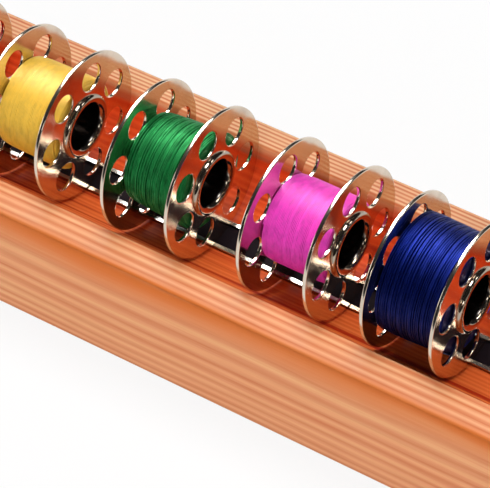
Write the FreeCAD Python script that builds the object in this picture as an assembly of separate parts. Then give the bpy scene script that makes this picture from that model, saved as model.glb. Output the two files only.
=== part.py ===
"""Magnetic bobbin bar: a wooden bar with a trough, a magnet strip and a row of wound metal bobbins.

Millimetres. The origin is the middle of the bar's base, +X runs along the bar, +Y to its back, +Z up.
"""
import FreeCAD
import Part
import math
import os

# Wooden bar; the middle of its trough lies a little behind the bar's own middle
BAR_LENGTH = 127.0
BAR_WIDTH = 28.6
BAR_HEIGHT = 21.9
TROUGH_RADIUS = 11.4
TROUGH_WIDTH = 20.7
TROUGH_OFFSET = 0.45
TOP_EDGE_ROUND = 0.4
BASE_EDGE_ROUND = 0.6
TROUGH_LIP_ROUND = 0.5
END_EDGE_BEVEL = 0.3

# Steel channel in the bar's slot, and the magnet strip in the channel
CHANNEL_WIDTH = 4.4
CHANNEL_HEIGHT = 3.0
CHANNEL_WALL = 0.5
CHANNEL_BEND = 0.9
CHANNEL_END_INSET = 1.0
SLOT_CLEARANCE = 0.05
MAGNET_RECESS = 0.45
MAGNET_CLEARANCE = 0.03

# Bobbin, the same for all six
FLANGE_DIAMETER = 20.5
FLANGE_THICKNESS = 0.5
FLANGE_SPACING = 9.68
FLANGE_EDGE_BEVEL = 0.15
HOLE_COUNT = 7
HOLE_DIAMETER = 3.8
HOLE_CIRCLE_RADIUS = 6.95
HUB_BORE = 6.2
HUB_DIAMETER = 7.4
HUB_NECK_DIAMETER = 7.0
LIP_DIAMETER = 8.8
LIP_ROUND = 0.5
LIP_FLARE = 0.8
FIT_CLEARANCE = 0.02
BOBBIN_AXIS_HEIGHT = 26.25
SEAT_CLEARANCE = 0.05

# Thread: the outer layer winds over a plain core
THREAD_DIAMETER = 0.42
THREAD_TURNS = 10
THREAD_PITCH = 0.85
THREAD_SIDES = 6
CORE_SIDE_CLEARANCE = 0.05
THREAD_SEAT = 0.03
LEAST_THREAD_GAP = 0.4
SAMPLES_PER_TURN = 48

# Each bobbin: its name, the place of its middle along the bar, the radius of its thread, and the angle of one
# hole in its left and its right flange, from +Y towards +Z
BOBBINS = [
    ("red_bobbin", -49.3, 7.2, 20.0, 5.0),
    ("yellow_bobbin", -29.9, 6.35, 40.0, 12.0),
    ("green_bobbin", -10.0, 6.75, 47.5, 36.0),
    ("pink_bobbin", 10.4, 5.85, 22.0, 28.0),
    ("blue_bobbin", 28.2, 8.05, 9.0, 48.5),
    ("white_bobbin", 49.3, 6.7, 30.0, 44.0),
]

# Sizes that follow from those above
HALF_LENGTH = BAR_LENGTH / 2
HALF_WIDTH = BAR_WIDTH / 2
HALF_TROUGH = TROUGH_WIDTH / 2
HALF_SLOT = CHANNEL_WIDTH / 2 + SLOT_CLEARANCE
TROUGH_CENTRE_Z = BAR_HEIGHT + math.sqrt(TROUGH_RADIUS ** 2 - HALF_TROUGH ** 2)
FLANGE_RADIUS = FLANGE_DIAMETER / 2
CHANNEL_INSIDE = CHANNEL_WIDTH / 2 - CHANNEL_WALL
SEAT_Z = BOBBIN_AXIS_HEIGHT - math.sqrt(FLANGE_RADIUS ** 2 - CHANNEL_INSIDE ** 2)
CHANNEL_TOP = SEAT_Z - SEAT_CLEARANCE
CHANNEL_BASE = CHANNEL_TOP - CHANNEL_HEIGHT
HALF_INSIDE = (FLANGE_SPACING - FLANGE_THICKNESS) / 2
HALF_OUTSIDE = (FLANGE_SPACING + FLANGE_THICKNESS) / 2
DIAGONAL = math.sqrt(0.5)
SAME_PLACE = 1e-6

ALONG_X = FreeCAD.Vector(1, 0, 0)


def vec(x, y, z):
    """A point or direction."""
    return FreeCAD.Vector(x, y, z)


def line(start, end):
    """A straight edge."""
    return Part.LineSegment(start, end).toShape()


def arc(start, middle, end):
    """A round edge through three points."""
    return Part.Arc(start, middle, end).toShape()


def face(edges):
    """A flat face inside a closed run of edges."""
    return Part.Face(Part.Wire(edges))


def corner_arc(corner, size, from_side, to_side):
    """A quarter round that replaces a square corner, in a plane across the bar."""
    start = corner + from_side * size
    end = corner + to_side * size
    centre = corner + (from_side + to_side) * size
    middle = centre - (from_side + to_side) * (size * DIAGONAL)
    return arc(start, middle, end), start, end


def trough_z(y):
    """Height of the trough's surface at a place across the bar."""
    return TROUGH_CENTRE_Z - math.sqrt(TROUGH_RADIUS ** 2 - (y - TROUGH_OFFSET) ** 2)


def trough_lip(side):
    """The eased edge between the trough and the flat land beside it, with its two end points."""
    centre_z = BAR_HEIGHT - TROUGH_LIP_ROUND
    reach = TROUGH_RADIUS + TROUGH_LIP_ROUND
    centre_y = math.sqrt(reach ** 2 - (TROUGH_CENTRE_Z - centre_z) ** 2)
    slope = math.atan2(TROUGH_CENTRE_Z - centre_z, -centre_y)
    half_way = (slope + math.pi / 2) / 2

    def on_round(angle):
        y = centre_y + TROUGH_LIP_ROUND * math.cos(angle)
        return vec(0, TROUGH_OFFSET + side * y, centre_z + TROUGH_LIP_ROUND * math.sin(angle))

    land = on_round(math.pi / 2)
    wall = on_round(slope)
    return land, on_round(half_way), wall


def wooden_bar():
    """The bar: one section with its trough and slot, run the whole length, with its end edges eased."""
    up, down = vec(0, 0, 1), vec(0, 0, -1)
    front, back = vec(0, -1, 0), vec(0, 1, 0)
    corners = [
        (vec(0, HALF_WIDTH, BAR_HEIGHT), TOP_EDGE_ROUND, front, down),
        (vec(0, HALF_WIDTH, 0), BASE_EDGE_ROUND, up, front),
        (vec(0, -HALF_WIDTH, 0), BASE_EDGE_ROUND, back, up),
        (vec(0, -HALF_WIDTH, BAR_HEIGHT), TOP_EDGE_ROUND, down, back),
    ]
    back_land, back_mid, back_wall = trough_lip(1)
    front_land, front_mid, front_wall = trough_lip(-1)

    edges = []
    last = back_land
    for corner, size, from_side, to_side in corners:
        rounded, start, end = corner_arc(corner, size, from_side, to_side)
        edges += [line(last, start), rounded]
        last = end
    edges += [line(last, front_land), arc(front_land, front_mid, front_wall)]

    def trough_point(y):
        return vec(0, y, trough_z(y))

    front_slot, back_slot = trough_point(-HALF_SLOT), trough_point(HALF_SLOT)
    front_floor, back_floor = vec(0, -HALF_SLOT, CHANNEL_BASE), vec(0, HALF_SLOT, CHANNEL_BASE)
    edges += [
        arc(front_wall, trough_point((front_wall.y - HALF_SLOT) / 2), front_slot),
        line(front_slot, front_floor),
        line(front_floor, back_floor),
        line(back_floor, back_slot),
        arc(back_slot, trough_point((back_wall.y + HALF_SLOT) / 2), back_wall),
        arc(back_wall, back_mid, back_land),
    ]
    bar = face(edges).extrude(ALONG_X * BAR_LENGTH)
    bar.translate(vec(-HALF_LENGTH, 0, 0))
    return ease_ends(bar)


def ease_ends(bar):
    """Take the sharp edges off the outside of the bar's two ends."""
    outside = []
    for edge in bar.Edges:
        middle = edge.CenterOfMass
        at_end = edge.BoundBox.XLength < SAME_PLACE
        in_trough = abs(middle.y - TROUGH_OFFSET) < HALF_TROUGH and middle.z > BASE_EDGE_ROUND
        if at_end and not in_trough:
            outside.append(edge)
    return bar.makeChamfer(END_EDGE_BEVEL, outside)


def steel_channel():
    """A strip of sheet steel bent to a U, open upwards."""
    half = CHANNEL_WIDTH / 2
    inside = CHANNEL_INSIDE
    floor = CHANNEL_BASE + CHANNEL_WALL
    inner_bend = CHANNEL_BEND - CHANNEL_WALL
    up, front, back = vec(0, 0, 1), vec(0, -1, 0), vec(0, 1, 0)
    front_bend, front_top, front_base = corner_arc(vec(0, -half, CHANNEL_BASE), CHANNEL_BEND, up, back)
    back_bend, back_base, back_top = corner_arc(vec(0, half, CHANNEL_BASE), CHANNEL_BEND, front, up)
    back_inner, back_wall, back_floor = corner_arc(vec(0, inside, floor), inner_bend, up, front)
    front_inner, front_floor, front_wall = corner_arc(vec(0, -inside, floor), inner_bend, back, up)
    tips = [vec(0, y, CHANNEL_TOP) for y in (-half, half, inside, -inside)]
    section = face([
        line(tips[0], front_top), front_bend, line(front_base, back_base), back_bend, line(back_top, tips[1]),
        line(tips[1], tips[2]), line(tips[2], back_wall), back_inner, line(back_floor, front_floor),
        front_inner, line(front_wall, tips[3]), line(tips[3], tips[0]),
    ])
    length = BAR_LENGTH - 2 * CHANNEL_END_INSET
    channel = section.extrude(ALONG_X * length)
    channel.translate(vec(-length / 2, 0, 0))
    return channel


def magnet_strip():
    """The magnet: a plain strip on the channel's floor, its lower edges bevelled to clear the bends."""
    length = BAR_LENGTH - 2 * CHANNEL_END_INSET
    half = CHANNEL_INSIDE - MAGNET_CLEARANCE
    bevel = CHANNEL_BEND - CHANNEL_WALL
    base = CHANNEL_BASE + CHANNEL_WALL
    top = CHANNEL_TOP - MAGNET_RECESS
    outline = [
        vec(0, -half + bevel, base), vec(0, half - bevel, base), vec(0, half, base + bevel),
        vec(0, half, top), vec(0, -half, top), vec(0, -half, base + bevel),
    ]
    outline.append(outline[0])
    strip = Part.Face(Part.makePolygon(outline)).extrude(ALONG_X * length)
    strip.translate(vec(-length / 2, 0, 0))
    return strip


def around_axis(edges):
    """Turn a half section, drawn with its radius along Y and the axis at Y = 0, once round the X axis."""
    return face(edges).revolve(vec(0, 0, 0), ALONG_X, 360)


def flange(hole_angle):
    """A thin disc with a softened rim, a centre hole for the hub's neck and a ring of round holes."""
    disc = Part.makeCylinder(FLANGE_RADIUS, FLANGE_THICKNESS, vec(0, 0, 0), ALONG_X)
    disc = disc.makeChamfer(FLANGE_EDGE_BEVEL, [edge for edge in disc.Edges if edge.Closed])
    neck = Part.makeCylinder(
        HUB_NECK_DIAMETER / 2 + FIT_CLEARANCE, 3 * FLANGE_THICKNESS, vec(-FLANGE_THICKNESS, 0, 0), ALONG_X)
    cutters = [neck]
    for index in range(HOLE_COUNT):
        angle = math.radians(hole_angle + 360 * index / HOLE_COUNT)
        y, z = HOLE_CIRCLE_RADIUS * math.cos(angle), HOLE_CIRCLE_RADIUS * math.sin(angle)
        cutters.append(Part.makeCylinder(
            HOLE_DIAMETER / 2, 3 * FLANGE_THICKNESS, vec(-FLANGE_THICKNESS, y, z), ALONG_X))
    return disc.cut(cutters)


def hub():
    """The tube between the flanges: a shoulder inside each one, and a rolled lip outside that clamps it."""
    bore, barrel, neck = HUB_BORE / 2, HUB_DIAMETER / 2, HUB_NECK_DIAMETER / 2
    crest = LIP_DIAMETER / 2 - LIP_ROUND
    crest_x = HALF_OUTSIDE + LIP_ROUND

    def end_of_hub(side):
        """Outer edges of one end, from the barrel's shoulder out and back to the bore."""
        shoulder = vec(side * HALF_INSIDE, barrel, 0)
        neck_in = vec(side * HALF_INSIDE, neck, 0)
        neck_out = vec(side * HALF_OUTSIDE, neck, 0)
        rim = vec(side * HALF_OUTSIDE, crest + LIP_ROUND, 0)
        top = vec(side * crest_x, crest, 0)
        throat = vec(side * (crest_x - LIP_FLARE), bore, 0)
        rim_mid = vec(side * (HALF_OUTSIDE + LIP_ROUND * DIAGONAL), crest + LIP_ROUND * DIAGONAL, 0)
        flare_mid = vec(
            side * (crest_x - LIP_FLARE * (1 - DIAGONAL)), bore + LIP_FLARE * (1 - DIAGONAL), 0)
        edges = [
            line(shoulder, neck_in), line(neck_in, neck_out), line(neck_out, rim),
            arc(rim, rim_mid, top), arc(top, flare_mid, throat),
        ]
        return edges, shoulder, throat

    left, left_shoulder, left_throat = end_of_hub(-1)
    right, right_shoulder, right_throat = end_of_hub(1)
    inside, outside = line(left_throat, right_throat), line(right_shoulder, left_shoulder)
    return around_axis(left + [inside] + right[::-1] + [outside])


def thread_core(thread_radius):
    """The inner layers of thread: a plain sleeve on the hub, between the flanges."""
    half = HALF_INSIDE - CORE_SIDE_CLEARANCE
    outer = thread_radius - THREAD_DIAMETER - THREAD_SEAT
    inner = HUB_DIAMETER / 2 + FIT_CLEARANCE
    sleeve = Part.makeCylinder(outer, 2 * half, vec(-half, 0, 0), ALONG_X)
    return sleeve.cut(Part.makeCylinder(inner, 2 * half, vec(-half, 0, 0), ALONG_X))


def helix_point(turn, radius):
    """Point on the winding, a number of turns from its left end."""
    angle = 2 * math.pi * turn
    x = (turn - THREAD_TURNS / 2) * THREAD_PITCH
    return vec(x, radius * math.cos(angle), radius * math.sin(angle))


def helix_tangent(turn, radius):
    """Direction of the winding at that point."""
    angle = 2 * math.pi * turn
    around = 2 * math.pi * radius
    return vec(THREAD_PITCH, -around * math.sin(angle), around * math.cos(angle)).normalize()


def tangent_arc(start, control, end):
    """The arc from start to end whose end tangents meet at the control point."""
    chord_middle = (start + end) * 0.5
    inward = control - chord_middle
    half_chord = (end - start).Length / 2
    radius = (control - start).Length * half_chord / inward.Length
    rise = radius - math.sqrt(radius ** 2 - half_chord ** 2)
    return arc(start, chord_middle + inward.normalize() * rise, end)


def biarc(start, start_way, end, end_way):
    """Two arcs that join two points with a smooth line in the given directions."""
    span = end - start
    along = span.dot(start_way + end_way)
    spread = 2 * (1 - start_way.dot(end_way))
    reach = (-along + math.sqrt(along ** 2 + spread * span.dot(span))) / spread
    first = start + start_way * reach
    second = end - end_way * reach
    joint = (first + second) * 0.5
    return [tangent_arc(start, first, joint), tangent_arc(joint, second, end)]


def least_gap(radius):
    """Smallest clear distance between neighbouring turns, measured on points along the winding."""
    count = THREAD_TURNS * SAMPLES_PER_TURN
    points = [helix_point(index / SAMPLES_PER_TURN, radius) for index in range(count + 1)]
    nearest = min(
        (points[index] - points[other]).Length
        for index in range(count + 1)
        for other in range(index + SAMPLES_PER_TURN // 2, count + 1))
    return nearest - THREAD_DIAMETER


def thread_turns(thread_radius):
    """The outer layer of thread: one unbroken helix on the core, with short straight ends."""
    radius = thread_radius - THREAD_DIAMETER / 2
    edges = []
    for half_turn in range(2 * THREAD_TURNS):
        start, end = half_turn / 2, (half_turn + 1) / 2
        edges += biarc(
            helix_point(start, radius), helix_tangent(start, radius),
            helix_point(end, radius), helix_tangent(end, radius))
    first, first_way = helix_point(0, radius), helix_tangent(0, radius)
    last, last_way = helix_point(THREAD_TURNS, radius), helix_tangent(THREAD_TURNS, radius)
    tail = first - first_way * THREAD_DIAMETER
    path = Part.Wire([line(tail, first)] + edges + [line(last, last + last_way * THREAD_DIAMETER)])

    outward = vec(0, 1, 0)
    sideways = first_way.cross(outward)
    corners = []
    for index in range(THREAD_SIDES + 1):
        angle = 2 * math.pi * (index + 0.5) / THREAD_SIDES
        spoke = outward * math.cos(angle) + sideways * math.sin(angle)
        corners.append(tail + spoke * (THREAD_DIAMETER / 2))
    sweep = Part.BRepOffsetAPI.MakePipeShell(path)
    sweep.add(Part.makePolygon(corners))
    sweep.build()
    sweep.makeSolid()
    return sweep.shape()


def bobbin(name, place, thread_radius, left_hole_angle, right_hole_angle):
    """All pieces of one wound bobbin, standing on the channel's edges."""
    left = flange(left_hole_angle)
    left.translate(vec(-HALF_OUTSIDE, 0, 0))
    right = flange(right_hole_angle)
    right.translate(vec(HALF_INSIDE, 0, 0))
    pieces = {
        "left_flange": left,
        "right_flange": right,
        "hub": hub(),
        "thread_core": thread_core(thread_radius),
        "thread_turns": thread_turns(thread_radius),
    }
    for piece in pieces.values():
        piece.translate(vec(place, 0, BOBBIN_AXIS_HEIGHT))
    gap = least_gap(thread_radius - THREAD_DIAMETER / 2)
    print("%s: least gap between turns %.3f mm" % (name, gap))
    if gap < LEAST_THREAD_GAP:
        raise ValueError("turns of %s are too close" % name)
    return {"%s_%s" % (name, piece): shape for piece, shape in pieces.items()}


def main():
    """Build every piece and write one file for each."""
    nodes = {"wooden_bar": wooden_bar(), "steel_channel": steel_channel(), "magnet_strip": magnet_strip()}
    for row in BOBBINS:
        nodes.update(bobbin(*row))
    os.makedirs("parts", exist_ok=True)
    for name, shape in nodes.items():
        if not shape.isValid() or shape.Volume <= 0:
            raise ValueError("%s is not a sound solid" % name)
        shape.exportStep("parts/%s.step" % name)
        print("%s: %.1f cubic mm" % (name, shape.Volume))


main()
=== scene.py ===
"""Looks of the magnetic bobbin bar: wood, plated steel, wound thread, a plain studio and the camera."""
import math
from collections import namedtuple

import bmesh
import bpy
from bpy.props import FloatProperty, FloatVectorProperty, IntProperty, PointerProperty
from mathutils import Matrix, Vector, noise


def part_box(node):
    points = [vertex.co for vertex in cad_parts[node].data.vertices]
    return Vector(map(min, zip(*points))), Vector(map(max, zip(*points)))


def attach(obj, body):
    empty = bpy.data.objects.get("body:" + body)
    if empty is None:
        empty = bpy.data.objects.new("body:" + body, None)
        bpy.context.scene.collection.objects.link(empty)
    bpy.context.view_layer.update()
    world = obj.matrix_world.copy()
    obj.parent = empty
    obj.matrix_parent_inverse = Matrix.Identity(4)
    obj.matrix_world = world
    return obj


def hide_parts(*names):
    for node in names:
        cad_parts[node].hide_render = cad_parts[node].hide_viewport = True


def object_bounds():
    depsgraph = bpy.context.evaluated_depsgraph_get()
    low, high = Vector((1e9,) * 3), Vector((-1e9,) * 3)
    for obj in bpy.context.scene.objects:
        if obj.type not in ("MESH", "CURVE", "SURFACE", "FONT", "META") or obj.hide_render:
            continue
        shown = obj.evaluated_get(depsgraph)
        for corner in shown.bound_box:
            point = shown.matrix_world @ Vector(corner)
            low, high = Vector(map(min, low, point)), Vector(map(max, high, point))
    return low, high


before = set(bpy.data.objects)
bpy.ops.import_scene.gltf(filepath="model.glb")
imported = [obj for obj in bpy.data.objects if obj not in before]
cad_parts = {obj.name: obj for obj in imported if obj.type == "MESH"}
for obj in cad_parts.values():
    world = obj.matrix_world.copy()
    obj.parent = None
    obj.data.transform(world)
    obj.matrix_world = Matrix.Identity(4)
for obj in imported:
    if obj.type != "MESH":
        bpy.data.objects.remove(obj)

bl_info = {
    "name": "Bobbin bar",
    "version": (1, 0, 0),
    "blender": (4, 5, 0),
    "location": "3D View > Sidebar > Bobbin bar",
    "description": "Dresses the solids of a magnetic bobbin bar with wood, plated steel and wound thread",
    "category": "Object",
}

CAD_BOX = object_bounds()

# Each bobbin has the angle of one hole in its left and its right flange, in degrees from +Y towards +Z, the
# looseness of its winding, from 0 for smooth and close to 1 for rough and open, and how much thicker the
# winding is at its right end than at its left, in metres
Bobbin = namedtuple("Bobbin", "left_hole right_hole looseness taper")
BOBBINS = {
    "red": Bobbin(20.0, 5.0, 0.4, 0.0),
    "yellow": Bobbin(40.0, 12.0, 0.12, 0.0001),
    "green": Bobbin(47.5, 36.0, 1.0, 0.0006),
    "pink": Bobbin(22.0, 28.0, 0.2, 0.0),
    "blue": Bobbin(9.0, 48.5, 0.8, -0.0003),
    "white": Bobbin(30.0, 44.0, 0.3, 0.0),
}

# How an unevenness of the winding goes on: its pace from turn to turn, and in its noise the step from one
# bobbin to the next, the first bobbin's place, and the step from one layer to the next
Drift = namedtuple("Drift", "pace bobbin_step start layer_step")
STRAY = Drift(0.43, 7.1, 0, 3.3)
SWELL = Drift(0.9, 5.3, 11, 2.7)

# Each soft lamp has its place, its width and its height, in metres
Lamp = namedtuple("Lamp", "place width height")
LAMPS = {
    "key": Lamp((0, 0.13, 0.70), 0.5, 0.2),
    "fill": Lamp((-0.78, -0.26, 0.11), 0.24, 0.24),
    "front": Lamp((0.05, -0.60, 0.42), 0.5, 0.5),
    "sheen": Lamp((-0.40, 0.45, 0.75), 0.5, 0.5),
    "front_hub": Lamp((0.48, -0.54, 0.36), 0.12, 0.12),
    "back_hub": Lamp((0.46, 0.44, 0.50), 0.12, 0.12),
}

# Scales of the noise in each finish, per metre along X, Y and Z
RING_STRAY = (20.0, 60.0, 60.0)
WOOD_FIBRE = (90.0, 2900.0, 2900.0)
WOOD_STREAK = (18.0, 900.0, 900.0)
NICKEL_SMUDGE = (260.0, 260.0, 260.0)
NICKEL_RIPPLE = (140.0, 140.0, 140.0)
STEEL_DRAW = (30.0, 9000.0, 9000.0)
MAGNET_MOTTLE = (700.0, 1400.0, 1400.0)
THREAD_BUNDLE = (1500.0, 700.0, 700.0)
THREAD_FIBRE = (9000.0, 9000.0, 9000.0)

# Sockets of a Mix node for colours, which go by number because their names repeat
MIX_FACTOR = 0
MIX_LOW = 6
MIX_HIGH = 7
MIX_RESULT = 2

# Points nearer than NEAR, in metres, are the same point, and edges that turn by more than SHARP stay sharp
FULL_TURN = 2 * math.pi
NEAR = 1e-6
SHARP = math.radians(50)


def number(name, description, default):
    """A plain number."""
    return FloatProperty(name=name, description=description, default=default, min=0)


def length(name, description, default):
    """A size in metres."""
    return FloatProperty(name=name, description=description, default=default, unit="LENGTH", precision=5)


def colour(name, description, default):
    """A colour, in linear red, green and blue."""
    return FloatVectorProperty(
        name=name, description=description, default=default, size=3, subtype="COLOR", min=0, max=1)


def power(name, description, default):
    """The power of a lamp, in watts."""
    return FloatProperty(name=name, description=description, default=default, unit="POWER", min=0)


def share(name, description, default):
    """A share between 0 and 1."""
    return FloatProperty(name=name, description=description, default=default, subtype="FACTOR", min=0, max=1)


def angle(name, description, degrees):
    """An angle, given in degrees."""
    return FloatProperty(name=name, description=description, default=math.radians(degrees), subtype="ANGLE")


class WoodSettings(bpy.types.PropertyGroup):
    """Section and grain of the wooden bar."""

    trough_radius: length("Trough radius", "Radius of the rounded trough", 0.0114)
    trough_width: length("Trough width", "Width of the trough at the top of the bar", 0.0207)
    trough_offset: length("Trough offset", "How far the trough's middle lies behind the bar's", 0.00045)
    slot_clearance: length("Slot clearance", "Room between the slot's walls and the channel", 0.00005)
    top_round: length("Top edges", "Rounding of the two outer top edges", 0.0004)
    base_round: length("Base edges", "Rounding of the two lower edges", 0.0006)
    lip_round: length("Trough edges", "Rounding where the trough meets the flat lands", 0.0005)
    end_round: length("End edges", "Rounding of the edges of the two ends", 0.0003)
    pith_y: length("Pith across", "Place of the tree's centre across the bar", -0.0433)
    pith_z: length("Pith height", "Height of the tree's centre", 0.023)
    ring_start: length("First ring", "Distance of one ring line from the pith", 0.02965)
    ring_spacing: length("Ring spacing", "Distance from that growth ring to the next", 0.00111)
    ring_tightening: number("Ring tightening", "How fast the rings draw together outwards, per metre", 16.9)
    ring_unevenness: share("Ring unevenness", "How much the rings differ in width", 0.3)
    ring_pace: share("Ring pace", "How fast their width changes from ring to ring", 0.6)
    wander: length("Ring wander", "How far the rings stray along the bar", 0.0012)
    band_start: length("Band start", "Distance of one broad dark band from the pith", 0.0287)
    band_width: length("Band width", "Width of that band", 0.0010)
    band_strength: share("Band strength", "How far that band covers the grain", 0.95)
    line_strength: share("Line strength", "Least darkness of the ring lines", 0.35)
    line_variety: share("Line variety", "How much the ring lines differ in darkness", 0.2)
    top_lines: share("Top lines", "How much darker the ring lines are on the flat top", 0.2)
    back_lines: share("Back lines", "How much darker still they are at its back", 0.15)
    fibre_strength: share("Fibre strength", "How much the fine fibres darken the wood", 0.6)
    streak_level: share("Streak level", "Level of the streaks above which the wood pales", 0.45)
    streak_strength: number("Streak strength", "How fast the wood pales above that level", 1.5)
    top_paleness: share("Top paleness", "How much paler the flat top is between the lines", 0.2)
    back_paleness: share("Back paleness", "How much paler still it is at its back", 0.4)
    early: colour("Early wood", "Pale wood between the ring lines", (0.82, 0.38, 0.19))
    late: colour("Late wood", "Dark wood of the ring lines", (0.56, 0.085, 0.008))
    cream: colour("Cream wood", "Palest wood, on the flat top and in streaks", (0.86, 0.54, 0.27))
    amber: colour("Dark band", "Resin-dark wood of the broad band", (0.70, 0.16, 0.022))
    # Painted shade and red bounce light of the trough: darkest on its back wall, streaky, and full below the
    # fade depth
    front_trough_shade: colour("Front stain", "How the routed trough's front darkens the wood", (0.95, 0.52, 0.25))
    back_trough_shade: colour("Back stain", "How the routed trough's back darkens the wood", (0.95, 0.16, 0.04))
    streaky_trough_shade: colour("Deep stain", "How streaks in the routed trough darken the wood", (0.55, 0.09, 0.03))
    trough_shade_fade: length("Stain fade", "Depth below the top at which the trough has its full colour", 0.0018)
    relief: length("Grain relief", "Height of the grain", 0.00004)
    fibre_relief: share("Fibre relief", "Share of the fibres in that height", 0.6)
    line_relief: share("Line relief", "Share of the ring lines in that height", 0.4)
    roughness: share("Wood roughness", "Least roughness of the wood", 0.5)
    fibre_roughness: share("Fibre roughness", "Roughness that the fibres add", 0.2)
    shine: share("Wood shine", "Specular level of the wood", 0.1)


class SteelSettings(bpy.types.PropertyGroup):
    """Plated bobbins, steel channel and magnet."""

    hole_count: IntProperty(name="Holes", description="Holes in each flange", default=7, min=3)
    hole_diameter: length("Hole diameter", "Diameter of a flange's small holes", 0.0038)
    hole_circle: length("Hole circle", "Distance of the holes from the bobbin's axis", 0.00695)
    edge_round: length("Flange edges", "Rounding of a flange's stamped edges", 0.00014)
    bore: length("Hub bore", "Diameter of the hole through the hub", 0.0062)
    neck: length("Hub neck", "Diameter of the hub inside a flange", 0.007)
    barrel: length("Hub barrel", "Diameter of the hub between the flanges", 0.0074)
    lip_round: length("Lip rounding", "Rounding of the rolled lip outside a flange", 0.0005)
    lip_flare: length("Lip flare", "Radius of the flare from the bore to the lip", 0.0008)
    nickel: colour("Nickel", "Reflection of the plated flanges", (0.70, 0.60, 0.49))
    # Painted shade of the hubs: a darker copy of the flanges' nickel that stands in for the dark
    # surroundings the hubs mirror
    worn_nickel: colour("Worn nickel", "Reflection of the plated hubs", (0.42, 0.35, 0.28))
    flange_polish: share("Flange polish", "Least roughness of the flanges", 0.11)
    hub_polish: share("Hub polish", "Least roughness of the hubs", 0.04)
    smudge_tint: share("Smudge tint", "Brightness of smudges beside the clean plate", 0.86)
    smudge_roughness: share("Smudge roughness", "Roughness that smudges add to the plate", 0.09)
    ripple: length("Ripple", "Height of the slow ripple in the plate", 0.00025)
    # Painted shade of the bore: a dark, rougher colour inside the bore and on the inner part of the lip's
    # flare stands in for the shade deep in the tube
    bore_shade_flare: share("Bare flare", "Share of the lip's flare that is shaded, as the bore is", 0.12)
    painted_bore_shade: colour("Bare steel", "Reflection of the shaded bore", (0.14, 0.125, 0.115))
    bore_roughness: share("Bore roughness", "Roughness that the shaded bore adds", 0.1)
    channel: colour("Channel", "Reflection of the steel channel", (0.46, 0.445, 0.42))
    channel_polish: share("Channel polish", "Least roughness of the channel", 0.15)
    draw_tint: share("Draw tint", "Brightness of the drawn lines beside the rest", 0.8)
    draw_roughness: share("Draw roughness", "Roughness that the drawn lines add", 0.15)
    draw_relief: length("Draw relief", "Height of the drawn lines", 0.000001)
    magnet: colour("Magnet", "Body of the magnet strip", (0.005, 0.003, 0.0045))
    magnet_roughness: share("Magnet roughness", "Least roughness of the magnet strip", 0.7)
    mottle_tint: number("Mottle tint", "Brightness of the mottling beside the rest", 2.6)
    mottle_roughness: share("Mottle roughness", "Roughness that the mottling adds", 0.2)
    mottle_relief: length("Mottle relief", "Height of the mottling", 0.00003)
    magnet_shine: share("Magnet shine", "Specular level of the magnet strip", 0.08)


class ThreadSettings(bpy.types.PropertyGroup):
    """Thread on the bobbins."""

    diameter: length("Thread", "Diameter of the thread", 0.0002)
    close_pitch: length("Close pitch", "Distance between turns pressed side by side", 0.00017)
    open_pitch: length("Open pitch", "Distance between turns of the loosest outer layer", 0.00026)
    bunching: length("Bunching", "How far the loosest turns stray along the bobbin", 0.0004)
    unevenness: length("Unevenness", "How far the loosest turns lie below the others", 0.00012)
    droop: length("Droop", "How much lower the winding is beside the flanges", 0.00015)
    points_per_turn: IntProperty(name="Points", description="Curve points in each turn", default=20, min=8)
    relief: length("Fibre relief", "Height of the fibres on the thread", 0.00003)
    roughness: share("Thread roughness", "Least roughness of the thread", 0.32)
    fibre_roughness: share("Fibre roughness", "Roughness that the fibres add", 0.12)
    loose_roughness: share("Loose roughness", "Roughness that hollows of the loosest winding add", 0.3)
    # Painted shade between the thread's bundles: the hollows are darker copies of the dye, darker still in a
    # loose winding
    hollow_shade_tint: share("Hollow tint", "Brightness of the hollows between bundles, in a close winding", 0.9)
    loose_hollow_shade: share("Loose tint", "How much darker the hollows of the loosest winding are", 0.7)
    bundle_share: share("Bundle share", "Share of the bundles in the colour", 0.85)
    fibre_share: share("Fibre share", "Share of the fibres in the colour", 0.15)
    refraction: number("Refraction", "Index of refraction of the fibres", 2.0)
    shine: share("Thread shine", "Specular level of the thread", 0.55)
    white_shine: share("White shine", "Share of white in the highlights of the palest thread", 0.3)
    red: colour("Red", "Thread of the far left bobbin", (0.60, 0.012, 0.018))
    yellow: colour("Yellow", "Thread of the yellow bobbin", (0.98, 0.63, 0.07))
    green: colour("Green", "Thread of the green bobbin", (0.008, 0.15, 0.036))
    pink: colour("Pink", "Thread of the pink bobbin", (0.98, 0.062, 0.63))
    blue: colour("Blue", "Thread of the blue bobbin", (0.0002, 0.0008, 0.010))
    white: colour("White", "Thread of the far right bobbin", (0.80, 0.77, 0.70))


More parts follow.
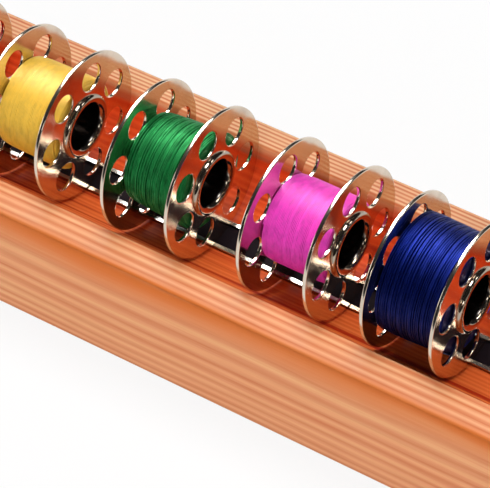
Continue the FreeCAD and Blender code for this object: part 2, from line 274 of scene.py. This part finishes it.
class StageSettings(bpy.types.PropertyGroup):
    """Floor, lights and camera."""

    floor: colour("Floor", "Colour of the floor where it is seen", (0.92, 0.92, 0.92))
    bounce: colour("Floor bounce", "Colour of the floor where it only throws light back", (0.25, 0.25, 0.25))
    floor_size: length("Floor size", "Width of the floor", 6.0)
    floor_glow: share("Floor glow", "Share of plain white the camera sees in the floor", 0.9)
    world: number("Room light", "Strength of the light all round", 0.03)
    key: power("Key lamp", "Power of the soft lamp overhead", 4.1)
    fill: power("Fill lamp", "Power of the low lamp on the left", 0.8)
    front: power("Front lamp", "Power of the broad lamp in front, which makes no highlights", 1.9)
    sheen: power("Sheen lamp", "Power of the lamp behind that only makes highlights", 26.0)
    front_hub: power("Front hub lamp", "Power of the small lamp in front that the hubs mirror", 0.4)
    back_hub: power("Back hub lamp", "Power of the small lamp behind that the hubs mirror", 0.4)
    side: power("Side strips", "Power per metre of the low lamps that light only the bar's sides", 0.028)
    strip_gap: length("Strip gap", "Distance of those lamps from the bar", 0.15)
    camera_place: FloatVectorProperty(
        name="Camera", description="Where the camera stands", default=(0.1630, -0.1849, 0.3234), size=3,
        subtype="XYZ", unit="LENGTH")
    azimuth: angle("Azimuth", "Way round to the camera, from the front towards the right end", 41.67)
    elevation: angle("Elevation", "How far the camera looks down", 51.16)
    roll: angle("Roll", "Tilt of the camera about its line of sight", -10.405)
    lens: FloatProperty(name="Lens", description="Focal length", default=228.1, min=1, unit="CAMERA")


class BobbinBarSettings(bpy.types.PropertyGroup):
    """All settings of the bobbin bar."""

    wood: PointerProperty(type=WoodSettings)
    steel: PointerProperty(type=SteelSettings)
    thread: PointerProperty(type=ThreadSettings)
    stage: PointerProperty(type=StageSettings)


class Wire:
    """A shader socket: arithmetic on it adds Math nodes, and node() adds any other kind."""

    def __init__(self, tree, socket=None):
        self.tree = tree
        self.socket = socket

    def node(self, kind, settings=None, inputs=None, output=0):
        """Add a node, set it up, feed its sockets with values or wires, and return one of its outputs."""
        made = self.tree.nodes.new("ShaderNode" + kind)
        for name, value in (settings or {}).items():
            if name == "stops":
                self.set_stops(made.color_ramp, value)
            else:
                setattr(made, name, value)
        for key, value in (inputs or {}).items():
            if isinstance(value, Wire):
                self.tree.links.new(value.socket, made.inputs[key])
            elif made.inputs[key].type == "RGBA":
                made.inputs[key].default_value = (*value, 1.0)
            else:
                made.inputs[key].default_value = value
        return Wire(self.tree, made.outputs[output] if made.outputs else None)

    @staticmethod
    def set_stops(ramp, stops):
        """Give a colour ramp its stops, each a place and a grey level."""
        while len(ramp.elements) < len(stops):
            ramp.elements.new(1.0)
        for element, (place, level) in zip(ramp.elements, stops):
            element.position = place
            element.color = (level, level, level, 1.0)

    def math(self, operation, first, second=0.0):
        """Add a Math node."""
        return self.node("Math", {"operation": operation}, {0: first, 1: second})

    def __add__(self, other):
        return self.math("ADD", self, other)

    def __radd__(self, other):
        return self.math("ADD", other, self)

    def __sub__(self, other):
        return self.math("SUBTRACT", self, other)

    def __rsub__(self, other):
        return self.math("SUBTRACT", other, self)

    def __mul__(self, other):
        return self.math("MULTIPLY", self, other)

    def __rmul__(self, other):
        return self.math("MULTIPLY", other, self)

    def __truediv__(self, other):
        return self.math("DIVIDE", self, other)

    def __rtruediv__(self, other):
        return self.math("DIVIDE", other, self)

    def output_of(self, other, name):
        """Another output of the node that a wire comes from."""
        return Wire(self.tree, other.socket.node.outputs[name])

    def span(self, first, second):
        """Length of the diagonal of two wires."""
        return self.math("SQRT", first * first + second * second)

    def clamp(self):
        """Keep a value between 0 and 1."""
        return self.node("Clamp", {}, {"Value": self})

    def ramp(self, *stops):
        """Send a value through a ramp of grey levels."""
        return self.node("ValToRGB", {"stops": stops}, {"Fac": self})

    def mix(self, low, high, blend="MIX"):
        """Go from one colour to another, or to their blend, with this value."""
        settings = {"data_type": "RGBA", "blend_type": blend}
        return self.node("Mix", settings, {MIX_FACTOR: self, MIX_LOW: low, MIX_HIGH: high}, MIX_RESULT)

    def stretched_noise(self, scale, detail=2.0, roughness=0.5):
        """Noise whose scale differs along X, Y and Z; this wire is the place it is read at."""
        place = self.node("VectorMath", {"operation": "MULTIPLY"}, {0: self, 1: scale})
        return self.node(
            "TexNoise", {}, {"Vector": place, "Scale": 1.0, "Detail": detail, "Roughness": roughness}, "Fac")


def new_finish(name):
    """An empty material, with its wire and the wire of Object coordinates."""
    material = bpy.data.materials.new(name)
    material.use_nodes = True
    material.node_tree.nodes.clear()
    wire = Wire(material.node_tree)
    return material, wire, wire.node("TexCoord", {}, {}, "Object")


def scaled(tint, factor):
    """A darker or paler colour."""
    return tuple(part * factor for part in tint)


def close_finish(wire, relief, depth, sockets):
    """Join a relief of some depth and the other sockets to a surface shader."""
    normal = wire.node("Bump", {}, {"Strength": 1.0, "Distance": depth, "Height": relief})
    shader = wire.node("BsdfPrincipled", {}, {**sockets, "Normal": normal})
    wire.node("OutputMaterial", {}, {"Surface": shader})


def wood_finish(looks):
    """Straight-grained oiled softwood: growth rings round a far pith, fine fibres, and painted shade in the
    trough.
    """
    material, wire, place = new_finish("straight_grained_wood")
    parts = wire.node("SeparateXYZ", {}, {"Vector": place})
    across = wire.output_of(parts, "Y")
    height = wire.output_of(parts, "Z")
    bar_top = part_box("wooden_bar")[1].z
    flat_top = ((height - bar_top) / looks.top_round + 1.0).clamp()

    stray = place.stretched_noise(RING_STRAY) - 0.5
    from_pith = wire.span(across - looks.pith_y, height - looks.pith_z) + stray * looks.wander
    past = from_pith - looks.ring_start
    ring = past / looks.ring_spacing * (past * looks.ring_tightening + 1.0)
    slow_ring = ring * looks.ring_pace
    uneven = wire.node(
        "TexNoise", {"noise_dimensions": "1D"}, {"W": slow_ring, "Scale": 1.0, "Detail": 0.0}, "Fac")
    ring = ring + (uneven - 0.5) * looks.ring_unevenness
    variety = wire.node(
        "TexWhiteNoise", {"noise_dimensions": "1D"}, {"W": wire.math("FLOOR", ring)}, "Value")
    line = wire.math("FRACT", ring).ramp(
        (0.0, 1.0), (0.14, 0.9), (0.4, 0.2), (0.55, 0.0), (0.86, 0.75), (1.0, 1.0))
    band = ((from_pith - looks.band_start) / looks.band_width).ramp(
        (0.0, 0.0), (0.24, 1.0), (0.45, 0.8), (1.0, 0.0))

    fibre = place.stretched_noise(WOOD_FIBRE, detail=4.0, roughness=0.65)
    streak = place.stretched_noise(WOOD_STREAK)
    behind = (across / looks.trough_width + 0.5).clamp()
    top_lines = flat_top * (behind * looks.back_lines + looks.top_lines)
    strength = variety * looks.line_variety + top_lines + looks.line_strength
    dark = (line * strength + (fibre - 0.5) * looks.fibre_strength).clamp()
    top_paleness = flat_top * (behind * looks.back_paleness + looks.top_paleness)
    pale = ((streak - looks.streak_level) * looks.streak_strength + top_paleness).clamp()
    grain = dark.mix(pale.mix(looks.early, looks.cream), looks.late)
    base = (band * looks.band_strength).mix(grain, looks.amber)

    # Painted shade and red bounce light in the routed trough, darker on its back wall and deeper down, with
    # darker streaks
    from_trough = wire.span(across - looks.trough_offset, height - bar_top - trough_rise(looks))
    routed = wire.math("LESS_THAN", from_trough, looks.trough_radius + looks.lip_round / 4)
    painted_trough_shade = behind.mix(looks.front_trough_shade, looks.back_trough_shade)
    painted_trough_shade = streak.ramp((0.36, 0.0), (0.52, 1.0)).mix(looks.streaky_trough_shade, painted_trough_shade)
    painted_shade_cover = routed * ((bar_top - height) / looks.trough_shade_fade).clamp()
    relief = fibre * looks.fibre_relief + line * looks.line_relief
    close_finish(wire, relief, looks.relief, {
        "Base Color": painted_shade_cover.mix(base, painted_trough_shade, "MULTIPLY"),
        "Roughness": looks.roughness + fibre * looks.fibre_roughness,
        "Specular IOR Level": looks.shine})
    return material


def nickel_finish(looks, name, tint, polish):
    """Nickel plate with faint smudges and a slight ripple, and painted shade inside the bore."""
    material, wire, place = new_finish(name)
    low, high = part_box("green_bobbin_hub")
    parts = wire.node("SeparateXYZ", {}, {"Vector": place})
    from_axis = wire.span(wire.output_of(parts, "Y"), wire.output_of(parts, "Z") - (low.z + high.z) / 2)
    # Painted shade inside the bore, in place of the dark its walls show
    bore_shade_edge = looks.bore / 2 + looks.lip_flare * looks.bore_shade_flare
    inside = wire.math("LESS_THAN", from_axis, bore_shade_edge)
    smudge = place.stretched_noise(NICKEL_SMUDGE, detail=3.0, roughness=0.6)
    ripple = place.stretched_noise(NICKEL_RIPPLE, detail=3.0, roughness=0.3)
    plate = smudge.ramp((0.45, 0.0), (0.75, 1.0)).mix(tint, scaled(tint, looks.smudge_tint))
    close_finish(wire, ripple, looks.ripple, {
        "Base Color": inside.mix(plate, looks.painted_bore_shade), "Metallic": 1.0,
        "Roughness": polish + smudge * looks.smudge_roughness + inside * looks.bore_roughness})
    return material


def channel_finish(looks):
    """Bright sheet steel, drawn along its length."""
    material, wire, place = new_finish("drawn_steel")
    draw = place.stretched_noise(STEEL_DRAW)
    close_finish(wire, draw, looks.draw_relief, {
        "Base Color": draw.mix(scaled(looks.channel, looks.draw_tint), looks.channel), "Metallic": 1.0,
        "Roughness": looks.channel_polish + draw * looks.draw_roughness})
    return material


def magnet_finish(looks):
    """Black filled-rubber magnet, dull and slightly mottled."""
    material, wire, place = new_finish("black_magnet")
    mottle = place.stretched_noise(MAGNET_MOTTLE, detail=4.0, roughness=0.65)
    close_finish(wire, mottle, looks.mottle_relief, {
        "Base Color": mottle.mix(looks.magnet, scaled(looks.magnet, looks.mottle_tint)),
        "Roughness": looks.magnet_roughness + mottle * looks.mottle_roughness,
        "Specular IOR Level": looks.magnet_shine})
    return material


def thread_finish(looks, name, looseness):
    """Dyed polyester thread: painted shade in the hollows between its bundles, and highlights in its own
    colour.
    """
    material, wire, place = new_finish("%s_thread" % name)
    dye = tuple(getattr(looks, name))
    bundle = place.stretched_noise(THREAD_BUNDLE, detail=4.0, roughness=0.6)
    fibre = place.stretched_noise(THREAD_FIBRE)
    # Painted shade: the hollows between raised bundles take a darker copy of the dye
    painted_hollow_shade = scaled(dye, looks.hollow_shade_tint - looks.loose_hollow_shade * looseness)
    white_share = looks.white_shine * max(dye)
    gloss = tuple(white_share + (1 - white_share) * part / max(dye) for part in dye)
    raised = bundle.ramp((0.36, 0.0), (0.58, 1.0))
    loose_roughness = looks.loose_roughness * looseness
    close_finish(wire, fibre, looks.relief, {
        "Base Color": (raised * looks.bundle_share + fibre * looks.fibre_share).mix(painted_hollow_shade, dye),
        "Roughness": looks.roughness + fibre * looks.fibre_roughness + (1 - raised) * loose_roughness,
        "IOR": looks.refraction, "Specular Tint": gloss, "Specular IOR Level": looks.shine})
    return material


def finished_piece(name, bm, material, body, slot, *replaced):
    """Make an object of a mesh under construction, dress it, and set it on its body in the solids' place."""
    bmesh.ops.recalc_face_normals(bm, faces=bm.faces)
    mesh = bpy.data.meshes.new(name)
    bm.to_mesh(mesh)
    bm.free()
    return settled_piece(name, mesh, material, body, slot, *replaced)


def settled_piece(name, mesh, material, body, slot, *replaced):
    """Link a finished mesh as a piece of the object."""
    piece = bpy.data.objects.new(name, mesh)
    bpy.context.scene.collection.objects.link(piece)
    mesh.materials.clear()
    mesh.materials.append(material)
    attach(piece, body)
    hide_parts(*replaced)
    return piece


def trough_rise(looks):
    """Height of the trough's centre line above the top of the bar."""
    return math.sqrt(looks.trough_radius ** 2 - (looks.trough_width / 2) ** 2)


def arc_points(centre_x, centre_r, radius, start, end, steps):
    """Points of an arc in a half section, as places along the axis and radii; angles are in degrees."""
    points = []
    for step in range(steps + 1):
        turn = math.radians(start + (end - start) * step / steps)
        points.append((centre_x + radius * math.cos(turn), centre_r + radius * math.sin(turn)))
    return points


def spin_section(bm, section, centre, steps, closed):
    """Spin a half section, given as places along X and radii, once round a line along X."""
    verts = [bm.verts.new((x, centre.y, centre.z + radius)) for x, radius in section]
    pairs = list(zip(verts, verts[1:]))
    if closed:
        pairs.append((verts[-1], verts[0]))
    edges = [bm.edges.new(pair) for pair in pairs]
    bmesh.ops.spin(
        bm, geom=verts + edges, cent=centre, axis=(1, 0, 0), dvec=(0, 0, 0), angle=FULL_TURN, steps=steps,
        use_merge=True, use_duplicate=False)


def smooth_all(bm):
    """Shade every face of a round piece smoothly."""
    for face in bm.faces:
        face.smooth = True


class BOBBIN_BAR_OT_wood(bpy.types.Operator):
    """Build the wooden bar with its trough, its slot and its eased edges"""

    bl_idname = "bobbin_bar.wood"
    bl_label = "Wooden bar"

    trough_steps = 26
    round_steps = 5
    end_steps = 3

    def execute(self, context):
        looks = context.scene.bobbin_bar.wood
        low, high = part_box("wooden_bar")
        bm = bmesh.new()
        self.draw_section(bm, looks, low, high)
        self.run_length(bm, low, high)
        self.ease_edges(bm, looks, low, high)
        smooth_all(bm)
        bar = finished_piece("bar_wood", bm, wood_finish(looks), "bar", "wood", "wooden_bar")
        bar.data.set_sharp_from_angle(angle=SHARP)
        even = bar.modifiers.new("even_normals", "WEIGHTED_NORMAL")
        even.keep_sharp = True
        return {"FINISHED"}

    def draw_section(self, bm, looks, low, high):
        """The bar's section at its left end, front half and back half."""
        channel_low, channel_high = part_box("steel_channel")
        rise = trough_rise(looks)
        centre = Vector((low.x, looks.trough_offset, high.z + rise))
        floor = channel_low.z
        for side in (-1, 1):
            half_slot = side * (channel_high.y + looks.slot_clearance)
            half_trough = side * looks.trough_width / 2
            face = side * high.y
            lip = bm.verts.new((low.x, centre.y + half_trough, high.z))
            lip_turn = math.atan2(-rise, half_trough)
            slot_turn = -math.acos((half_slot - centre.y) / looks.trough_radius)
            swept = bmesh.ops.spin(
                bm, geom=[lip], cent=centre, axis=(1, 0, 0), dvec=(0, 0, 0), angle=slot_turn - lip_turn,
                steps=self.trough_steps, use_merge=False, use_duplicate=False)
            slot = next(part for part in swept["geom_last"] if isinstance(part, bmesh.types.BMVert))
            runs = [(slot, [(half_slot, floor), (0, floor)]), (lip, [(face, high.z), (face, 0), (0, 0)])]
            for last, corners in runs:
                for y, z in corners:
                    corner = bm.verts.new((low.x, y, z))
                    bm.edges.new((last, corner))
                    last = corner

    def run_length(self, bm, low, high):
        """Fill the section and draw it out along the bar."""
        bmesh.ops.remove_doubles(bm, verts=bm.verts, dist=NEAR)
        bmesh.ops.contextual_create(bm, geom=bm.edges[:])
        made = bmesh.ops.extrude_face_region(bm, geom=bm.faces[:])
        moved = [part for part in made["geom"] if isinstance(part, bmesh.types.BMVert)]
        bmesh.ops.translate(bm, verts=moved, vec=(high.x - low.x, 0, 0))

    def ease_edges(self, bm, looks, low, high):
        """Round the long edges, then the edges of the two ends outside the slot."""
        long_edges = []
        for side in (-1, 1):
            lip = looks.trough_offset + side * looks.trough_width / 2
            long_edges += [
                (side * high.y, high.z, looks.top_round), (side * high.y, low.z, looks.base_round),
                (lip, high.z, looks.lip_round)]
        for y, z, size in long_edges:
            chosen = [
                edge for edge in bm.edges
                if all(abs(v.co.y - y) < NEAR and abs(v.co.z - z) < NEAR for v in edge.verts)]
            chosen = [edge for edge in chosen if edge.calc_length() > high.x]
            self.bevel(bm, chosen, size, self.round_steps)
        half_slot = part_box("steel_channel")[1].y + looks.slot_clearance
        ends = []
        for edge in bm.edges:
            at_end = all(abs(abs(v.co.x) - high.x) < NEAR for v in edge.verts)
            in_slot = all(abs(v.co.y) < half_slot + NEAR and v.co.z > low.z + NEAR for v in edge.verts)
            if at_end and not in_slot and edge.calc_length() < 2 * high.y:
                ends.append(edge)
        self.bevel(bm, ends, looks.end_round, self.end_steps)

    @staticmethod
    def bevel(bm, edges, size, steps):
        """Round some edges."""
        bmesh.ops.bevel(
            bm, geom=edges, offset=size, offset_type="OFFSET", segments=steps, profile=0.5, affect="EDGES",
            clamp_overlap=True, material=-1)


class BOBBIN_BAR_OT_strip(bpy.types.Operator):
    """Dress the steel channel and the magnet strip"""

    bl_idname = "bobbin_bar.strip"
    bl_label = "Magnetic strip"

    def execute(self, context):
        looks = context.scene.bobbin_bar.steel
        finishes = {"steel_channel": channel_finish(looks), "magnet_strip": magnet_finish(looks)}
        for node, finish in finishes.items():
            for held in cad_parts[node].material_slots:
                held.material = finish
        return {"FINISHED"}


class BOBBIN_BAR_OT_flanges(bpy.types.Operator):
    """Build the two holed discs of each bobbin, with stamped round edges"""

    bl_idname = "bobbin_bar.flanges"
    bl_label = "Bobbin flanges"

    rim_steps = 112
    hole_steps = 36
    edge_steps = 3

    def execute(self, context):
        looks = context.scene.bobbin_bar.steel
        nickel = nickel_finish(looks, "polished_nickel", looks.nickel, looks.flange_polish)
        for name, bobbin in BOBBINS.items():
            self.make_flange(looks, nickel, name, "left", bobbin.left_hole)
            self.make_flange(looks, nickel, name, "right", bobbin.right_hole)
        return {"FINISHED"}

    def make_flange(self, looks, nickel, name, side, hole_angle):
        """One disc: its rounded rim and hole edges, then the two flat faces between them."""
        node = "%s_bobbin_%s_flange" % (name, side)
        low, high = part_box(node)
        centre = (low + high) / 2
        rim = (high.z - low.z) / 2
        hole = looks.hole_diameter / 2
        bm = bmesh.new()
        self.round_edge(bm, looks, low.x, high.x, centre, rim, -1, self.rim_steps)
        self.round_edge(bm, looks, low.x, high.x, centre, looks.neck / 2, 1, self.hole_steps)
        for index in range(looks.hole_count):
            turn = math.radians(hole_angle) + FULL_TURN * index / looks.hole_count
            offset = Vector((0, math.cos(turn), math.sin(turn))) * looks.hole_circle
            self.round_edge(bm, looks, low.x, high.x, centre + offset, hole, 1, self.hole_steps)
        smooth_all(bm)
        for x in (low.x, high.x):
            border = [edge for edge in bm.edges if edge.is_boundary and abs(edge.verts[0].co.x - x) < NEAR]
            filled = bmesh.ops.triangle_fill(bm, edges=border, use_beauty=True)
            for part in filled["geom"]:
                if isinstance(part, bmesh.types.BMFace):
                    part.smooth = False
        finished_piece("%s_%s_flange" % (name, side), bm, nickel, "%s_bobbin" % name, "bobbin_nickel", node)

    def round_edge(self, bm, looks, left, right, centre, radius, outward, steps):
        """The edge of the disc or of a hole, rounded from one flat face to the other."""
        size = looks.edge_round
        flat = radius + outward * size
        turn = 90 * outward
        section = arc_points(left + size, flat, size, 180, 180 + turn, self.edge_steps)
        section += arc_points(right - size, flat, size, -turn, 0, self.edge_steps)
        spin_section(bm, section, centre, steps, closed=False)


class BOBBIN_BAR_OT_hubs(bpy.types.Operator):
    """Build the hub of each bobbin: a tube whose rolled lips clamp the flanges"""

    bl_idname = "bobbin_bar.hubs"
    bl_label = "Bobbin hubs"

    spin_steps = 80
    lip_steps = 6

    def execute(self, context):
        looks = context.scene.bobbin_bar.steel
        # A darker nickel on the hubs: painted shade for the dark surroundings they mirror
        nickel = nickel_finish(looks, "worn_nickel", looks.worn_nickel, looks.hub_polish)
        for name in BOBBINS:
            node = "%s_bobbin_hub" % name
            low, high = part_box(node)
            left_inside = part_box("%s_bobbin_left_flange" % name)[1].x
            right_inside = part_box("%s_bobbin_right_flange" % name)[0].x
            bm = bmesh.new()
            section = self.hub_section(looks, low.x, high.x, left_inside, right_inside)
            spin_section(bm, section, (low + high) / 2, self.spin_steps, closed=True)
            smooth_all(bm)
            hub = finished_piece("%s_hub" % name, bm, nickel, "%s_bobbin" % name, "bobbin_nickel", node)
            hub.data.set_sharp_from_angle(angle=SHARP)
        return {"FINISHED"}

    def hub_section(self, looks, left, right, left_inside, right_inside):
        """Half section of the hub, once round from the bore's left mouth."""
        bore, neck, barrel = looks.bore / 2, looks.neck / 2, looks.barrel / 2
        crest = bore + looks.lip_flare
        return (
            arc_points(left + looks.lip_flare, crest, looks.lip_flare, 270, 180, self.lip_steps)
            + arc_points(left + looks.lip_round, crest, looks.lip_round, 180, 90, self.lip_steps)[1:]
            + [(left + looks.lip_round, neck), (left_inside, neck), (left_inside, barrel)]
            + [(right_inside, barrel), (right_inside, neck), (right - looks.lip_round, neck)]
            + arc_points(right - looks.lip_round, crest, looks.lip_round, 90, 0, self.lip_steps)
            + arc_points(right - looks.lip_flare, crest, looks.lip_flare, 0, -90, self.lip_steps)[1:])


class BOBBIN_BAR_OT_thread(bpy.types.Operator):
    """Wind each bobbin with one thread, laid from flange to flange and back over the layers below"""

    bl_idname = "bobbin_bar.thread"
    bl_label = "Thread"

    bed_steps = 72
    shoulder_steps = 4
    droop_power = 5
    nesting = 0.8

    def execute(self, context):
        looks = context.scene.bobbin_bar.thread
        barrel = context.scene.bobbin_bar.steel.barrel / 2
        for seed, (name, bobbin) in enumerate(BOBBINS.items()):
            finish = thread_finish(looks, name, bobbin.looseness)
            self.make_bed(looks, name, finish, barrel, bobbin.taper)
            self.wind(looks, name, finish, bobbin, seed)
        return {"FINISHED"}

    @staticmethod
    def thinner(taper, along):
        """How much thinner a tapered winding is at some place along it, from 0 at its left to 1."""
        return max(taper, 0) - taper * along

    def make_bed(self, looks, name, finish, barrel, taper):
        """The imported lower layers: a sleeve with rounded shoulders."""
        node = "%s_bobbin_thread_core" % name
        low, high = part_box(node)
        shoulder = looks.diameter
        radius = (high.z - low.z) / 2 - looks.droop - shoulder
        left = radius - self.thinner(taper, 0)
        right = radius - self.thinner(taper, 1)
        section = [(low.x, barrel)]
        section += arc_points(low.x + shoulder, left, shoulder, 180, 90, self.shoulder_steps)
        section += arc_points(high.x - shoulder, right, shoulder, 90, 0, self.shoulder_steps)
        section += [(high.x, barrel)]
        bm = bmesh.new()
        spin_section(bm, section, (low + high) / 2, self.bed_steps, closed=True)
        smooth_all(bm)
        finished_piece("%s_thread_bed" % name, bm, finish, "%s_bobbin" % name, "%s_thread" % name, node)

    def wind(self, looks, name, finish, bobbin, seed):
        """The thread that shows: one curve through both layers, made a mesh."""
        node = "%s_bobbin_thread_turns" % name
        low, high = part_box(node)
        core_low, core_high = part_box("%s_bobbin_thread_core" % name)
        centre = Vector(((core_low.x + core_high.x) / 2, 0, (core_low.z + core_high.z) / 2))
        outer = (high.y - low.y) / 2 - looks.diameter / 2
        half = (core_high.x - core_low.x) / 2 - looks.diameter / 2
        points = self.route(looks, outer, half, bobbin, seed)
        curve = bpy.data.curves.new("%s_thread_line" % name, "CURVE")
        curve.dimensions = "3D"
        curve.bevel_depth = looks.diameter / 2
        curve.bevel_resolution = 1
        curve.resolution_u = 2
        curve.use_fill_caps = True
        spline = curve.splines.new("NURBS")
        spline.points.add(len(points) - 1)
        for held, point in zip(spline.points, points):
            held.co = (*(centre + point), 1.0)
        spline.order_u = 3
        spline.use_endpoint_u = True
        line = bpy.data.objects.new("%s_thread_line" % name, curve)
        mesh = bpy.data.meshes.new_from_object(line)
        bpy.data.objects.remove(line)
        bpy.data.curves.remove(curve)
        mesh.shade_smooth()
        settled_piece("%s_thread" % name, mesh, finish, "%s_bobbin" % name, "%s_thread" % name, node)

    @staticmethod
    def drift(kind, turn, seed, layer):
        """Smooth noise along the thread, of its own for each bobbin and layer."""
        across = seed * kind.bobbin_step + kind.start
        return noise.noise(Vector((turn * kind.pace, across, layer * kind.layer_step)))

    def route(self, looks, outer, half, bobbin, seed):
        """Places along the thread: a close layer to the right, then an opener one back over it."""
        points = []
        turn = 0.0
        looseness = bobbin.looseness
        open_pitch = looks.close_pitch + (looks.open_pitch - looks.close_pitch) * looseness
        for layer, (pitch, way) in enumerate(((looks.close_pitch, 1), (open_pitch, -1))):
            turns = 2 * half / pitch
            count = int(turns * looks.points_per_turn)
            for step in range(count):
                along = step / count
                turn += 1 / looks.points_per_turn
                x = way * half * (2 * along - 1)
                stray = self.drift(STRAY, turn, seed, layer)
                x = max(-half, min(half, x + stray * looks.bunching * looseness))
                swell = abs(self.drift(SWELL, turn, seed, layer))
                drop = looks.droop * abs(x / half) ** self.droop_power + swell * looks.unevenness * looseness
                drop += self.thinner(bobbin.taper, (x / half + 1) / 2)
                radius = outer - (1 - layer) * looks.diameter * self.nesting - drop
                bend = FULL_TURN * turn
                points.append(Vector((x, radius * math.cos(bend), radius * math.sin(bend))))
        return points


class BOBBIN_BAR_OT_stage(bpy.types.Operator):
    """Set up the pale floor, the soft studio lights and the camera"""

    bl_idname = "bobbin_bar.stage"
    bl_label = "Studio"

    strip_cover = 0.96
    strip_spread = 1.0
    sensor_width = 36.0
    sight_end = 20.0

    def execute(self, context):
        looks = context.scene.bobbin_bar.stage
        context.scene.view_settings.view_transform = "Standard"
        self.make_floor(looks)
        self.make_world(context.scene, looks)
        self.make_lamps(looks)
        self.make_strips(looks)
        self.make_camera(context.scene, looks)
        return {"FINISHED"}

    def make_lamps(self, looks):
        """The soft lamps: the front one makes no highlights, and the sheen lamp makes nothing else."""
        middle = (Vector(CAD_BOX[0]) + Vector(CAD_BOX[1])) / 2
        made = {}
        for name, lamp in LAMPS.items():
            made[name] = self.make_lamp(
                "%s_lamp" % name, getattr(looks, name), lamp.place, middle, lamp.width, lamp.height)
        made["front"].visible_glossy = False
        made["sheen"].visible_diffuse = False

    def make_strips(self, looks):
        """A low lamp before each side of the bar, as wide and as high as that side, with a level beam."""
        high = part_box("wooden_bar")[1]
        target = Vector((0, 0, high.z / 2))
        height = high.z * self.strip_cover
        for name, x, y in (("front", 0, -1), ("back", 0, 1), ("left", -1, 0), ("right", 1, 0)):
            width = 2 * (high.y if x else high.x)
            gap = (high.x if x else high.y) + looks.strip_gap
            place = target + Vector((x, y, 0)) * gap
            watts = looks.side * width
            self.make_lamp("%s_strip" % name, watts, place, target, width, height, self.strip_spread)

    @staticmethod
    def seen(wire):
        """One for what the camera sees directly, in metal or through glass, and nothing for other light."""
        path = wire.node("LightPath", {}, {}, "Is Camera Ray")
        glossy = wire.output_of(path, "Is Glossy Ray")
        through = wire.output_of(path, "Is Transmission Ray")
        return (path + glossy + through).clamp()

    def make_floor(self, looks):
        """A wide floor, white to the eye but for a soft shadow, and greyer where it throws light back."""
        material, wire, _ = new_finish("pale_floor")
        plain = wire.node("BsdfDiffuse", {}, {"Color": tuple(looks.floor)})
        white = wire.node("Emission", {}, {"Color": (1, 1, 1), "Strength": 1.0})
        bright = wire.node("MixShader", {}, {0: looks.floor_glow, 1: plain, 2: white})
        grey = wire.node("BsdfDiffuse", {}, {"Color": tuple(looks.bounce)})
        shown = wire.node("MixShader", {}, {0: self.seen(wire), 1: grey, 2: bright})
        wire.node("OutputMaterial", {}, {"Surface": shown})
        bm = bmesh.new()
        bmesh.ops.create_grid(bm, x_segments=1, y_segments=1, size=looks.floor_size / 2)
        mesh = bpy.data.meshes.new("floor")
        bm.to_mesh(mesh)
        bm.free()
        mesh.materials.append(material)
        floor = bpy.data.objects.new("floor", mesh)
        bpy.context.scene.collection.objects.link(floor)

    @staticmethod
    def make_world(scene, looks):
        """Dim even light from all round."""
        world = bpy.data.worlds.new("studio")
        world.use_nodes = True
        world.node_tree.nodes.clear()
        wire = Wire(world.node_tree)
        dim = wire.node("Background", {}, {"Color": (1, 1, 1), "Strength": looks.world})
        wire.node("OutputWorld", {}, {"Surface": dim})
        scene.world = world

    @staticmethod
    def make_lamp(name, watts, place, target, width, height, spread=180.0):
        """A flat soft lamp that faces its target; a small spread, in degrees, keeps its beam narrow."""
        lamp = bpy.data.lights.new(name, "AREA")
        lamp.energy = watts
        lamp.shape = "RECTANGLE"
        lamp.size = width
        lamp.size_y = height
        lamp.spread = math.radians(spread)
        holder = bpy.data.objects.new(name, lamp)
        holder.location = place
        holder.rotation_euler = (Vector(target) - holder.location).to_track_quat("-Z", "Y").to_euler()
        bpy.context.scene.collection.objects.link(holder)
        return holder

    def make_camera(self, scene, looks):
        """The photograph's camera."""
        sight = bpy.data.cameras.new("camera")
        sight.sensor_width = self.sensor_width
        sight.sensor_fit = "HORIZONTAL"
        sight.lens = looks.lens
        sight.clip_end = self.sight_end
        turn, lift = looks.azimuth, looks.elevation
        back = Vector((math.sin(turn) * math.cos(lift), -math.cos(turn) * math.cos(lift), math.sin(lift)))
        level = Vector((math.cos(turn), math.sin(turn), 0))
        rise = back.cross(level)
        right = level * math.cos(looks.roll) + rise * math.sin(looks.roll)
        up = rise * math.cos(looks.roll) - level * math.sin(looks.roll)
        holder = bpy.data.objects.new("camera", sight)
        facing = Matrix((right, up, back)).transposed().to_4x4()
        holder.matrix_world = Matrix.Translation(Vector(looks.camera_place)) @ facing
        scene.collection.objects.link(holder)
        scene.camera = holder


class BOBBIN_BAR_PT_panel(bpy.types.Panel):
    """Buttons that build each group of pieces"""

    bl_idname = "BOBBIN_BAR_PT_panel"
    bl_label = "Bobbin bar"
    bl_space_type = "VIEW_3D"
    bl_region_type = "UI"
    bl_category = "Bobbin bar"

    def draw(self, context):
        for operator in OPERATORS:
            self.layout.operator(operator.bl_idname)


OPERATORS = (
    BOBBIN_BAR_OT_wood,
    BOBBIN_BAR_OT_strip,
    BOBBIN_BAR_OT_flanges,
    BOBBIN_BAR_OT_hubs,
    BOBBIN_BAR_OT_thread,
    BOBBIN_BAR_OT_stage,
)
CLASSES = (
    WoodSettings,
    SteelSettings,
    ThreadSettings,
    StageSettings,
    BobbinBarSettings,
    *OPERATORS,
    BOBBIN_BAR_PT_panel,
)


def register():
    for item in CLASSES:
        bpy.utils.register_class(item)
    bpy.types.Scene.bobbin_bar = PointerProperty(type=BobbinBarSettings)


def unregister():
    del bpy.types.Scene.bobbin_bar
    for item in reversed(CLASSES):
        bpy.utils.unregister_class(item)


def main():
    """Build every piece and the studio."""
    register()
    bpy.ops.bobbin_bar.wood()
    bpy.ops.bobbin_bar.strip()
    bpy.ops.bobbin_bar.flanges()
    bpy.ops.bobbin_bar.hubs()
    bpy.ops.bobbin_bar.thread()
    bpy.ops.bobbin_bar.stage()


if __name__ == "__main__":
    main()
